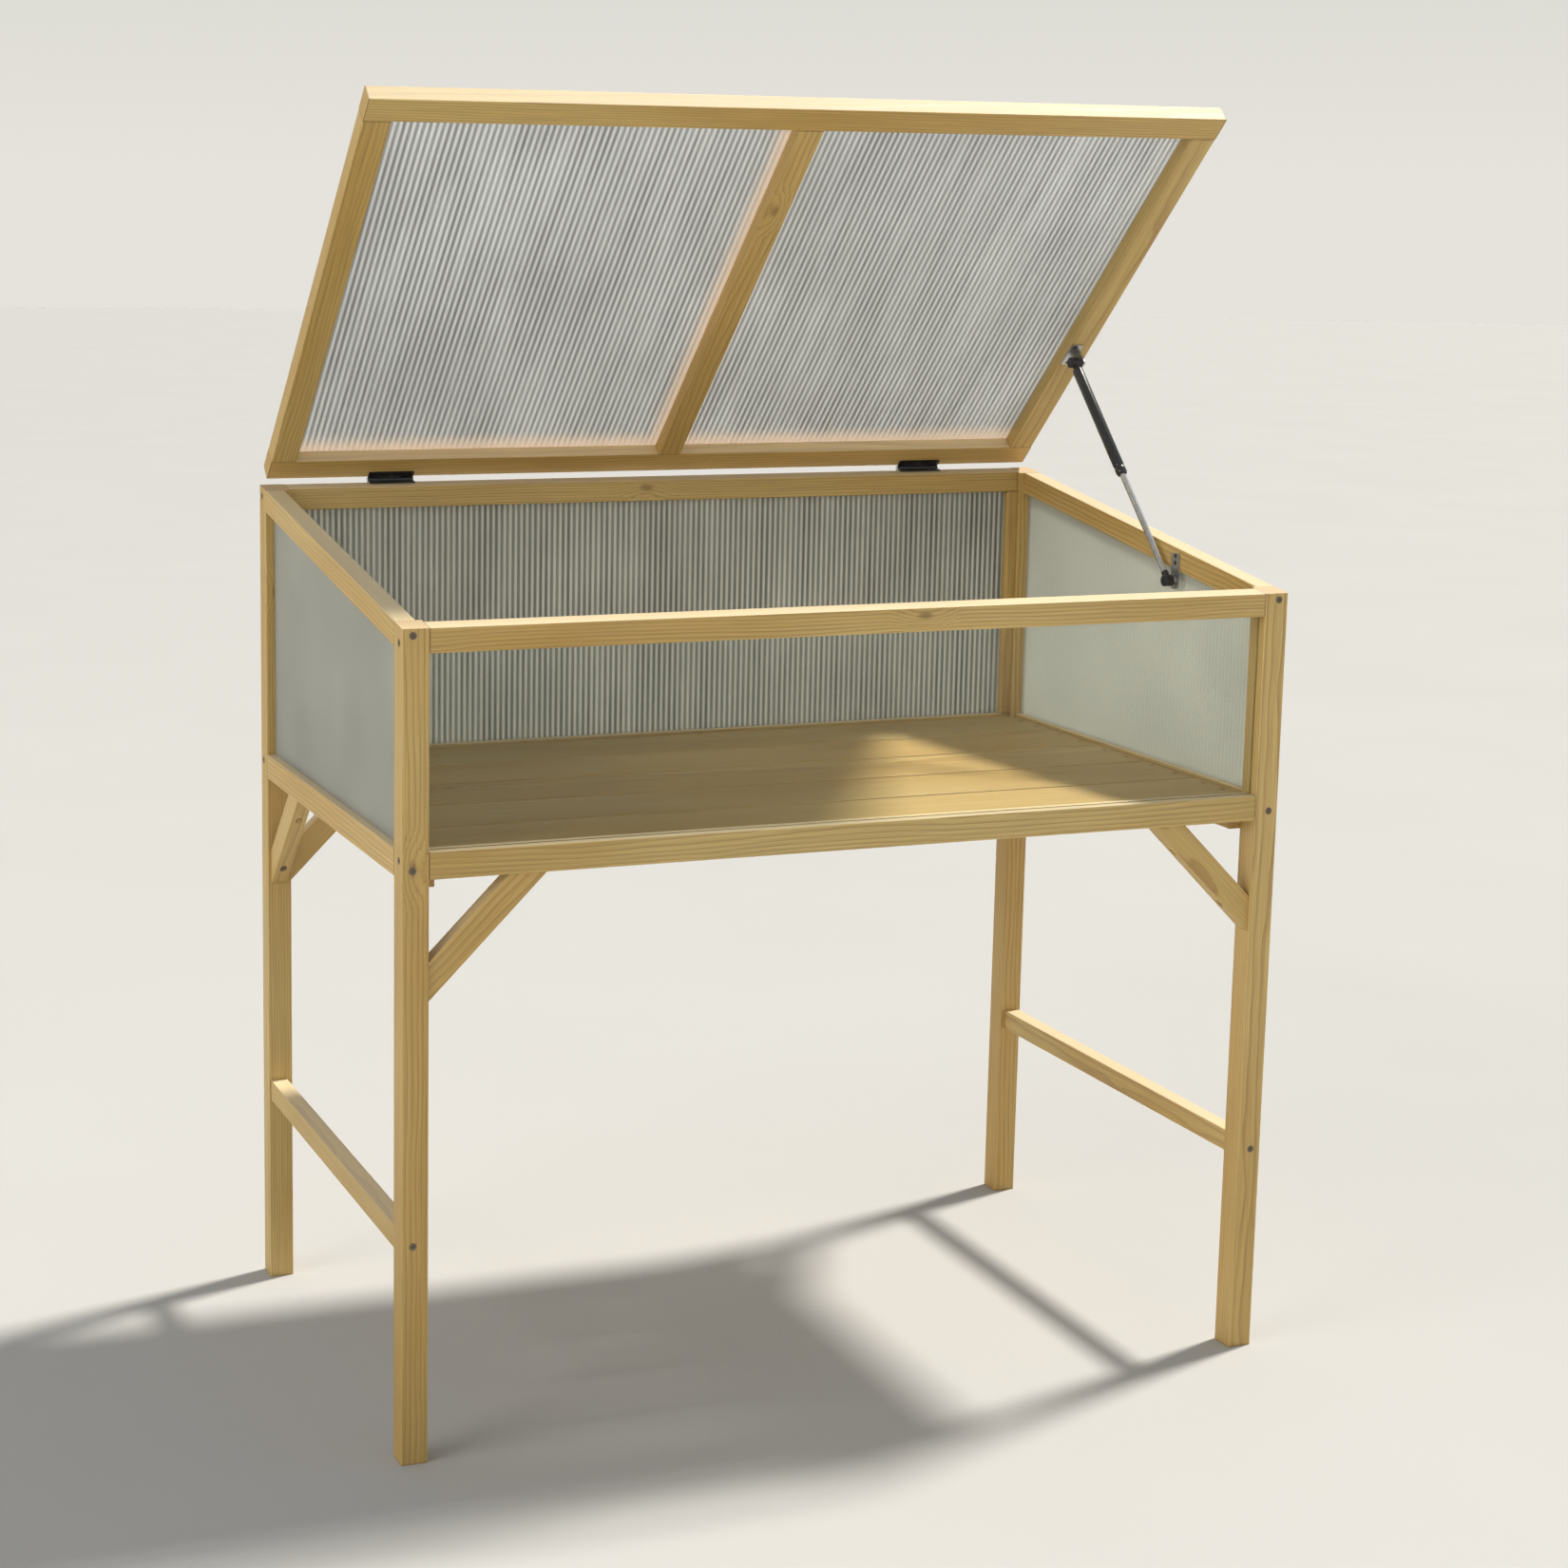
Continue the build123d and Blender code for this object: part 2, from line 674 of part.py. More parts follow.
def hinge_leaf(x, above, knuckles):
    """Leaf with its knuckles, flat, in front of the pin. above is 1 or -1."""
    near_face = above * hinge_leaf_gap / 2
    far_face = above * leaf_step
    leaf = block(
        x - hinge_width / 2, x + hinge_width / 2, -rear_step - hinge_leaf_depth, -rear_step / 2,
        min(near_face, far_face), max(near_face, far_face),
    )
    corners = [
        e for e in leaf.edges().filter_by(Axis.Z)
        if e.center().Y < -rear_step - hinge_leaf_depth / 2
    ]
    leaf = fillet(corners, hinge_corner_radius)
    for k0, k1 in gaps_between(knuckles, -hinge_width / 2, hinge_width / 2):
        leaf -= block(
            x + k0, x + k1, -knuckle_radius - knuckle_gap, knuckle_diameter,
            -knuckle_diameter, knuckle_diameter,
        )
    for k0, k1 in knuckles:
        leaf += rod_x(x + k0, x + k1, 0, 0, knuckle_radius)
        leaf += block(
            x + k0, x + k1, -rear_step, 0, min(near_face, far_face), max(near_face, far_face)
        )
    fit = hinge_pin_press if above < 0 else hinge_pin_fit
    leaf -= rod_x(x - hinge_width, x + hinge_width, 0, 0, hinge_pin_diameter / 2 + fit)
    return leaf


def gaps_between(spans, start, end):
    """The stretches from start to end that the spans leave free."""
    free = []
    at = start
    for k0, k1 in sorted(spans):
        if k0 > at:
            free.append((at, k0))
        at = max(at, k1)
    if at < end:
        free.append((at, end))
    return free


def make_hinges():
    """Two butt hinges between the back top rail and the lid's back rail."""
    end = hinge_width / 2
    inner = end - knuckle_end_length
    outer_knuckles = ((-end, -inner), (inner, end))
    middle_knuckle = ((-inner + knuckle_gap, inner - knuckle_gap),)
    pins = []
    for side, sign in (("left", -1), ("right", 1)):
        x = sign * hinge_centre
        frame_leaf = f"{side}_hinge_frame_leaf"
        lid_leaf = f"{side}_hinge_lid_leaf"
        parts[frame_leaf] = on_frame_top(hinge_leaf(x, -1, outer_knuckles))
        parts[lid_leaf] = on_lid(hinge_leaf(x, 1, middle_knuckle))
        pins.append(on_frame_top(rod_x(x - end, x + end, 0, 0, hinge_pin_diameter / 2)))
        y = -rear_step - hinge_screw_back
        face = hinge_leaf_gap / 2
        spots = [x - hinge_screw_spread, x, x + hinge_screw_spread]
        drive(
            "frame_fitting_screws", fitting_screw,
            [
                Pos(0, pin_y, pin_z) * Rot(X=slope) * Pos(s, y, -face)
                for s in spots
            ],
            [frame_leaf, "back_top_rail"],
        )
        drive(
            "lid_fitting_screws", fitting_screw,
            [
                Pos(0, pin_y, pin_z) * Rot(X=-lid_open_angle) * Pos(s, y, face) * Rot(X=180)
                for s in spots
            ],
            [lid_leaf, "lid_back_rail"],
        )
    parts["hinge_pins"] = pins


# ---------------------------------------------------------------- gas strut
# The strut is made hanging straight down from its upper ball and is then leaned
# to its place.
def on_strut(shape):
    """Turns a piece made hanging from the upper ball to the strut's open place."""
    return Pos(strut_x, upper_open[0], upper_open[1]) * Rot(X=-strut_lean) * shape


def ball_socket(stem):
    """Cup around a ball at the origin, open towards +X, its stem down by stem."""
    cup = rod_x(-socket_back, socket_front, 0, 0, socket_diameter / 2)
    cup = fillet(cup.edges().filter_by(GeomType.CIRCLE), socket_ease)
    cup += Pos(0, 0, -stem / 2) * Cylinder(socket_stem_diameter / 2, stem)
    cup -= Sphere(ball_diameter / 2 + ball_fit)
    cup -= rod_x(0, socket_back, 0, 0, socket_mouth_diameter / 2)
    return cup


def ball_stud(reach):
    """Ball at the origin on a neck that runs out along +X to reach."""
    return Sphere(ball_diameter / 2) + rod_x(0, reach, 0, 0, ball_neck_diameter / 2)


def make_strut():
    """Tube, rod guide, piston, rod, sockets and the lower ball."""
    radius = strut_tube_diameter / 2
    bore = radius - strut_tube_wall
    top = -upper_stem_length
    bottom = top - strut_tube_length
    tube = Pos(0, 0, (top + bottom) / 2) * Cylinder(radius, strut_tube_length)
    tube = fillet(tube.edges().filter_by(GeomType.CIRCLE), tube_ease)
    tube -= Pos(0, 0, (top - strut_cap_length + bottom) / 2) * Cylinder(
        bore, strut_tube_length - strut_cap_length
    )
    parts["strut_tube"] = on_strut(tube)
    guide = Pos(0, 0, bottom + strut_guide_length / 2) * Cylinder(bore, strut_guide_length)
    guide -= Pos(0, 0, bottom) * Cylinder(
        strut_rod_diameter / 2 + strut_rod_fit, 4 * strut_guide_length
    )
    parts["strut_rod_guide"] = on_strut(guide)
    parts["strut_upper_socket"] = on_strut(ball_socket(upper_stem_length))
    rod_end = -strut_open + lower_stem_length
    piston_bottom = bottom + strut_guide_length + strut_end_play / 2
    piston_top = piston_bottom + strut_piston_length
    rod = Pos(0, 0, (piston_bottom + rod_end) / 2) * Cylinder(
        strut_rod_diameter / 2, piston_bottom - rod_end
    )
    parts["strut_rod"] = on_strut(rod)
    parts["strut_piston"] = on_strut(
        Pos(0, 0, (piston_bottom + piston_top) / 2)
        * Cylinder(bore - strut_piston_fit, strut_piston_length)
    )
    foot = Pos(0, 0, -strut_open)
    parts["strut_lower_socket"] = on_strut(foot * Rot(Z=180) * Rot(Y=180) * ball_socket(
        lower_stem_length
    ))
    boss_end = foot_boss_end()
    parts["strut_lower_ball"] = on_strut(foot * ball_stud(boss_end - open_pivot_gap))


def foot_boss_end():
    """From the strut's axis to the near face of the boss on the lower bracket."""
    return socket_front + 2 * open_pivot_gap


def make_brackets():
    """Plate on the side rail for the strut's foot and angle under the lid's stile."""
    y, z = strut_foot_y, strut_foot_z
    face = rail_inner_x - bracket_thickness
    rail_top = top_at(y) - foot_bracket_top_gap
    plate = block(
        face, rail_inner_x, y - foot_bracket_width / 2, y + foot_bracket_width / 2,
        z - foot_bracket_hang, rail_top,
    )
    plate = fillet(plate.edges().filter_by(Axis.X), bracket_corner_radius)
    plate += rod_x(strut_x + foot_boss_end(), face + bracket_thickness / 2, y, z,
                   foot_boss_diameter / 2)
    parts["strut_foot_bracket"] = plate
    groove_top = top_at(y) - top_rail_drop + groove_depth / cos(radians(slope))
    screw_z = (groove_top + rail_top) / 2       # in the solid wood above the side sheet
    spread = foot_screw_spread / 2
    drive(
        "frame_fitting_screws", fitting_screw,
        [facing(face, y, screw_z + s, 0, -90)
         for s in (-spread, spread)],
        ["strut_foot_bracket", "right_top_rail"],
    )
    flange_outer = rail_inner_x - flange_clearance
    flange_inner = flange_outer - bracket_thickness
    stile_inner = lid_half - lid_member_width
    low = leaf_step
    along = -strut_lid_reach
    pivot = leaf_step - strut_lid_drop
    angle = block(
        stile_inner + timber_ease, flange_outer, along - bracket_length / 2,
        along + bracket_length / 2, low - bracket_thickness, low,
    )
    flange = block(
        flange_inner, flange_outer, along - flange_width / 2, along + flange_width / 2,
        pivot - flange_edge, low,
    )
    angle += fillet(
        [e for e in flange.edges().filter_by(Axis.X) if e.center().Z < pivot],
        bracket_corner_radius,
    )
    parts["strut_lid_bracket"] = on_lid(angle)
    reach = flange_inner - strut_x
    stud = Pos(strut_x, along, pivot) * ball_stud(reach)
    parts["strut_upper_ball"] = on_lid(stud)
    spot_x = (stile_inner + timber_ease + flange_inner) / 2
    spread = bracket_length / 2 - bracket_screw_edge
    drive(
        "lid_fitting_screws", fitting_screw,
        [
            Pos(0, pin_y, pin_z) * Rot(X=-lid_open_angle)
            * Pos(spot_x, along + s, low - bracket_thickness) * Rot(X=180)
            for s in (-spread, spread)
        ],
        ["strut_lid_bracket", "lid_right_stile"],
    )


# ---------------------------------------------------------------- whole object
def build():
    """Makes every piece, with the front faces of the posts at Y = 0."""
    make_posts()
    make_end_rails()
    make_side_rails()
    wall_glazing()
    rail_screws()
    make_braces()
    make_floor()
    make_lid()
    make_hinges()
    make_brackets()
    make_strut()


def solids_of(entry):
    """The solids of a node, whether it is one piece or a group."""
    pieces = entry if isinstance(entry, list) else [entry]
    return [s for p in pieces for s in p.solids()]


def write():
    """Centres the object on the floor and writes one file for each node."""
    os.makedirs("parts", exist_ok=True)
    everything = Compound(children=[s for entry in parts.values() for s in solids_of(entry)])
    box = everything.bounding_box()
    shift = Pos(-(box.min.X + box.max.X) / 2, -(box.min.Y + box.max.Y) / 2, -box.min.Z)
    for name, entry in parts.items():
        moved = [shift * s for s in solids_of(entry)]
        shape = moved[0] if len(moved) == 1 else Compound(children=moved)
        export_step(shape, f"parts/{name}.step")
    return shift


build()
origin_shift = write()
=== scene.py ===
"""Raised wooden cold frame: the finish of its timber, sheets and fittings, and its studio."""

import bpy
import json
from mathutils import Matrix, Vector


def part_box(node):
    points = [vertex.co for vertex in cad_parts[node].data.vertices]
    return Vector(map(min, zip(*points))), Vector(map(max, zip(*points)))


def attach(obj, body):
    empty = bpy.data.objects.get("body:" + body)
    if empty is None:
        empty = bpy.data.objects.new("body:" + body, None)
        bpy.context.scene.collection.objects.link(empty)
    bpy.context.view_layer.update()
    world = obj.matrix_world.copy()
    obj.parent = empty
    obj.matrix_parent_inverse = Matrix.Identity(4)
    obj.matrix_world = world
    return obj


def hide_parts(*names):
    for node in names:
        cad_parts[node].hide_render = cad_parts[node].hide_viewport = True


bl_info = {
    "name": "Cold Frame Finisher",
    "version": (1, 0, 0),
    "blender": (4, 5, 0),
    "location": "View3D > Sidebar > Cold Frame",
    "description": "Finishes the timber, sheets and fittings of a raised cold frame and lights it",
    "category": "Object",
}

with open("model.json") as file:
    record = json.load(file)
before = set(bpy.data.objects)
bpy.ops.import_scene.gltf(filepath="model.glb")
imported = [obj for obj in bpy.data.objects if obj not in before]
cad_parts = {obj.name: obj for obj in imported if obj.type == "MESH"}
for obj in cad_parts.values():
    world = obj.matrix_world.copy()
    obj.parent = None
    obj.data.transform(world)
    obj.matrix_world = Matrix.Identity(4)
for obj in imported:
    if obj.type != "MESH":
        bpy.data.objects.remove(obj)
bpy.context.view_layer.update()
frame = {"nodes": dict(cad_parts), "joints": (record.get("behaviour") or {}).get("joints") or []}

import json
import math
import random

import bpy
from mathutils import Matrix, Vector

nodes = frame["nodes"]

KNOT_SQUEEZE = 0.45          # a knot is this much narrower across the grain
KNOT_RING_PITCH = 0.0013
BEAD_EASE = 0.0005           # rounding of a bead's sharp edges
NECK_UP = 0.010              # the rolled neck, from the tube's mouth
NECK_HALF = 0.0026           # half the length of the neck
EASED_EDGE = 0.0014          # width of the long edges of a bar that are painted paler, partly as wear and partly as a painted highlight
JOINT_SHADE = 0.0016         # length of the dark line at a bar's ends
# How often a pattern of the wood repeats, per metre along the grain and across it.
FIBRES = (9, 520, 520)
STREAKS = (2.5, 110, 110)
PATCHES = (2.2, 9, 9)
WANDER = (3.2, 16, 16)
RIPPLE = (16, 60, 60)
WEAR_AND_HIGHLIGHT = (40, 60, 60)
KNOT_EDGE = (260, 420, 420)
SKY_LOW, SKY_HIGH = 0.02, 0.55   # heights in the surround where it starts and stops to darken
X_AXIS = Vector((1, 0, 0))
Y_AXIS = Vector((0, 1, 0))
Z_AXIS = Vector((0, 0, 1))


# ---------------------------------------------------------------- shader maths
class Value:
    """A socket that carries a number. Arithmetic on it adds Math nodes."""

    def __init__(self, shader, socket):
        self.shader = shader
        self.socket = socket

    def math(self, operation, *others):
        """A Math node on this value and the others."""
        inputs = dict(enumerate((self, *others)))
        return self.shader.add("ShaderNodeMath", {"operation": operation}, inputs).value(0)

    def __add__(self, other):
        return self.math("ADD", other)

    __radd__ = __add__

    def __sub__(self, other):
        return self.math("SUBTRACT", other)

    def __rsub__(self, other):
        return self.shader.number(other).math("SUBTRACT", self)

    def __mul__(self, other):
        return self.math("MULTIPLY", other)

    __rmul__ = __mul__

    def __truediv__(self, other):
        return self.math("DIVIDE", other)

    def __pow__(self, power):
        return self.math("POWER", power)

    def fraction(self):
        """The part after the decimal point."""
        return self.math("FRACT")

    def size(self):
        """The value without its sign."""
        return self.math("ABSOLUTE")

    def step(self, start, end, low=0.0, high=1.0):
        """Goes smoothly from low at start to high at end."""
        settings = {"interpolation_type": "SMOOTHSTEP"}
        inputs = {"Value": self, "From Min": start, "From Max": end, "To Min": low, "To Max": high}
        return self.shader.add("ShaderNodeMapRange", settings, inputs).value("Result")


class Node:
    """A node that has been added, with its outputs as values."""

    def __init__(self, shader, node):
        self.shader = shader
        self.node = node

    def value(self, output):
        """One output as a value."""
        return Value(self.shader, self.node.outputs[output])


class Shader:
    """The node tree of a new material, or of a world, and the means to build it."""

    def __init__(self, name, kind="materials"):
        self.owner = getattr(bpy.data, kind).new(name)
        self.owner.use_nodes = True
        self.tree = self.owner.node_tree
        self.tree.nodes.clear()

    def add(self, kind, settings=None, inputs=None):
        """Adds a node: its settings first, then the values or links of its sockets."""
        node = self.tree.nodes.new(kind)
        for key, setting in (settings or {}).items():
            setattr(node, key, setting)
        for key, given in (inputs or {}).items():
            if isinstance(given, Value):
                self.tree.links.new(given.socket, node.inputs[key])
            else:
                node.inputs[key].default_value = given
        return Node(self, node)

    def number(self, amount):
        """A plain number as a value."""
        node = self.add("ShaderNodeValue")
        node.node.outputs[0].default_value = amount
        return node.value(0)

    def object_place(self):
        """Where a point lies on the object."""
        return self.add("ShaderNodeTexCoord").value("Object")

    def object_normal(self):
        """Which way the surface faces, before any joint moves it."""
        return self.add("ShaderNodeTexCoord").value("Normal")

    def turned(self, vector, place, turn):
        """The vector as seen from a bar's own middle and direction."""
        inputs = {"Vector": vector, "Location": place, "Rotation": turn}
        return self.add("ShaderNodeMapping", {"vector_type": "TEXTURE"}, inputs).value(0)

    def vector(self, operation, one, other):
        """A Vector Math node on two vectors."""
        node = self.add("ShaderNodeVectorMath", {"operation": operation}, {0: one, 1: other})
        return node.value("Value" if operation in ("DOT_PRODUCT", "DISTANCE") else "Vector")

    def parts(self, vector):
        """The three numbers of a vector."""
        node = self.add("ShaderNodeSeparateXYZ", inputs={0: vector})
        return [node.value(i) for i in range(3)]

    def noise(self, vector, scale=1.0, detail=2.0, roughness=0.5):
        """Soft random values from 0 to 1."""
        inputs = {"Vector": vector, "Scale": scale, "Detail": detail, "Roughness": roughness}
        return self.add("ShaderNodeTexNoise", inputs=inputs).value(0)

    def mix(self, one, other, share, blend="MIX"):
        """Two colours mixed by a share."""
        settings = {"data_type": "RGBA", "blend_type": blend, "clamp_factor": True}
        return self.add("ShaderNodeMix", settings, {0: share, 6: one, 7: other}).value(2)

    def bump(self, height, depth, strength):
        """A Bump node for heights from 0 to 1 that are depth metres tall."""
        inputs = {"Height": height, "Distance": depth, "Strength": strength}
        return self.add("ShaderNodeBump", inputs=inputs).value(0)

    def surface(self, **sockets):
        """The main shader, with sockets named by their words joined by underscores."""
        inputs = {key.replace("_", " "): given for key, given in sockets.items()}
        return self.add("ShaderNodeBsdfPrincipled", inputs=inputs).value(0)

    def grey(self, value):
        """A colour with the value in all three channels."""
        return self.add("ShaderNodeCombineColor", inputs={0: value, 1: value, 2: value}).value(0)

    def finish(self, shader, output="ShaderNodeOutputMaterial"):
        """Puts the shader on the output and gives back the material or the world."""
        self.add(output, inputs={"Surface": shader})
        return self.owner


def rgb(colour):
    """A colour property with a full alpha."""
    return (*colour[:3], 1.0)


def dress(node, material):
    """Puts one material on all slots of a piece."""
    data = nodes[node].data if isinstance(node, str) else node.data
    if not data.materials:
        data.materials.append(material)
    for i in range(len(data.materials)):
        data.materials[i] = material


# ---------------------------------------------------------------- places from the frame
def lie(node, flat):
    """Direction of a bar that lies square to the flat axis, from its broadest long face."""
    mesh = nodes[node].data
    square = [p for p in mesh.polygons if abs(p.normal.dot(flat)) < 0.05]
    broad = max(square, key=lambda p: p.area)
    return broad.normal.cross(flat).normalized()


def bar_place(mesh, along):
    """Middle, turn and half sizes of a bar whose grain runs along a direction."""
    side = Y_AXIS if abs(along.x) > 0.5 else X_AXIS
    up = along.cross(side).normalized()
    side = up.cross(along).normalized()
    turn = Matrix((along, side, up)).transposed()
    points = [turn.transposed() @ v.co for v in mesh.vertices]
    low = Vector([min(p[i] for p in points) for i in range(3)])
    high = Vector([max(p[i] for p in points) for i in range(3)])
    return turn @ ((low + high) / 2), turn.to_euler(), (high - low) / 2


# ---------------------------------------------------------------- settings
def tint(name, description, default):
    """A colour property."""
    return bpy.props.FloatVectorProperty(
        name=name, description=description, default=default, size=3, min=0, max=1,
        subtype="COLOR",
    )


def portion(name, description, default):
    """A property between 0 and 1."""
    return bpy.props.FloatProperty(
        name=name, description=description, default=default, min=0, max=1, subtype="FACTOR"
    )


def degrees(name, description, default):
    """An angle property, given in degrees."""
    return bpy.props.FloatProperty(
        name=name, description=description, default=math.radians(default), unit="ROTATION"
    )


def length(name, description, default):
    """A length property."""
    return bpy.props.FloatProperty(
        name=name, description=description, default=default, unit="LENGTH", precision=4
    )


class TimberSettings(bpy.types.PropertyGroup):
    """Colours and sizes of the pine."""

    pale: tint("Pale", "Early wood between the rings", (0.64, 0.470, 0.180))
    honey: tint("Honey", "Broad warmer patches", (0.53, 0.345, 0.096))
    ring: tint("Ring", "Late wood of the rings", (0.36, 0.190, 0.055))
    knot: tint("Knot", "Heart of a knot", (0.115, 0.045, 0.018))
    # Painted highlight: the pale cream that the faces looking up are mixed towards, as if lit from
    # above.
    painted_top_light: tint("Bleached", "Wood that lies open to the sky", (0.90, 0.80, 0.60))
    ring_pitch: length("Ring Pitch", "From one growth ring to the next", 0.0034)
    knot_radius: length("Knot Radius", "Radius of a small knot", 0.0042)
    bead_width: length("Bead Width", "Width of a corner bead", 0.014)
    bead_thickness: length("Bead Thickness", "Thickness of a corner bead", 0.010)


class SheetSettings(bpy.types.PropertyGroup):
    """Colours and sizes of the glazing."""

    lid: tint("Lid Sheet", "Twin-wall sheet of the lid", (0.96, 0.975, 0.98))
    back: tint("Back Sheet", "Twin-wall sheet of the back", (0.94, 0.945, 0.90))
    side: tint("Side Sheet", "Twin-wall sheets of the sides", (0.84, 0.85, 0.815))
    glow: tint("Glow", "Warm light that the timber throws on a sheet", (1.0, 0.93, 0.86))
    rib_pitch: length("Rib Pitch", "From one rib to the next", 0.007)
    glow_width: length("Glow Width", "Width of the warm band", 0.028)
    lid_ribs: portion("Lid Ribs", "How dark the ribs of the lid's sheets are", 0.42)
    back_ribs: portion("Back Ribs", "How dark the ribs of the back sheet are", 0.52)
    side_ribs: portion("Side Ribs", "How dark the ribs of the side sheets are", 0.10)
    clearness: portion("Clearness", "Share of a sheet that is seen straight through", 0.14)
    side_clearness: portion("Side Clearness", "The same share of a side sheet", 0.16)
    milkiness: portion("Milkiness", "Share of the light that spreads through a sheet", 0.74)


class FittingSettings(bpy.types.PropertyGroup):
    """Colours of the fittings."""

    black: tint("Black", "Powder coat of the hinges and the strut", (0.017, 0.017, 0.018))
    plastic: tint("Plastic", "Ends of the strut", (0.022, 0.022, 0.024))
    zinc: tint("Zinc", "Plated brackets", (0.58, 0.59, 0.60))
    screw: tint("Screw", "Dark plated screws", (0.20, 0.165, 0.125))
    rod: tint("Rod", "Ground rod", (0.80, 0.81, 0.83))


class StudioSettings(bpy.types.PropertyGroup):
    """Floor, lights and camera."""

    floor: tint("Floor", "Colour of the floor", (0.52, 0.52, 0.515))
    sun_turn: bpy.props.FloatVectorProperty(
        name="Key Turn", description="Direction of the key light", size=3, subtype="EULER",
        default=(math.radians(-10), math.radians(34), 0),
    )
    sun_power: bpy.props.FloatProperty(
        name="Key Power", description="Strength of the key light", default=4.3
    )
    sun_softness: degrees("Key Softness", "Angle across the key light", 7)
    fill_place: bpy.props.FloatVectorProperty(
        name="Fill Place", description="Place of the fill light", size=3, unit="LENGTH",
        default=(-7.5, -2.2, 4.2),
    )
    fill_size: length("Fill Size", "Side of the fill light", 4.5)
    fill_power: bpy.props.FloatProperty(
        name="Fill Power", description="Strength of the fill light in watts", default=235
    )
    horizon: tint("Horizon", "Surround at the height of the eye", (0.785, 0.767, 0.714))
    zenith: tint("Zenith", "Surround overhead", (0.30, 0.315, 0.33))
    eye: bpy.props.FloatVectorProperty(
        name="Eye", description="Place of the camera", size=3, unit="LENGTH",
        default=(-1.26336, -2.83386, 1.23798),
    )
    yaw: degrees("Yaw", "Camera turned to the right of +Y", 19.421)
    pitch: degrees("Pitch", "Camera tipped up", -9.042)
    roll: degrees("Roll", "Camera turned about its view", 0.496)
    lens: bpy.props.FloatProperty(
        name="Lens", description="Focal length in millimetres", default=63.78
    )
    shift: bpy.props.FloatVectorProperty(
        name="Shift", description="Shift of the lens", size=2, default=(0.161, -0.072)
    )


class ColdFrameSettings(bpy.types.PropertyGroup):
    """Everything that a user would change."""

    timber: bpy.props.PointerProperty(type=TimberSettings)
    sheet: bpy.props.PointerProperty(type=SheetSettings)
    fitting: bpy.props.PointerProperty(type=FittingSettings)
    studio: bpy.props.PointerProperty(type=StudioSettings)


# ---------------------------------------------------------------- timber
def knot_field(shader, local, knots, radius):
    """How far each point is drawn into a knot, the rings' bend round it and its own rings."""
    inside, bend, rings = 0.0, 0.0, 0.0
    squeeze = (KNOT_SQUEEZE, 1, 1)
    squeezed = shader.vector("MULTIPLY", local, squeeze)
    rough = shader.noise(shader.vector("MULTIPLY", local, KNOT_EDGE), detail=1)
    for spot in knots:
        centre = [a * b for a, b in zip(spot, squeeze)]
        away = shader.vector("DISTANCE", squeezed, centre) * (0.8 + 0.4 * rough)
        mask = away.step(radius * 1.4, radius * 0.35)
        inside = mask + inside
        bend = away.step(radius * 5, radius * 0.8) + bend
        rings = (away / KNOT_RING_PITCH).fraction() * mask + rings
    return inside, bend, rings


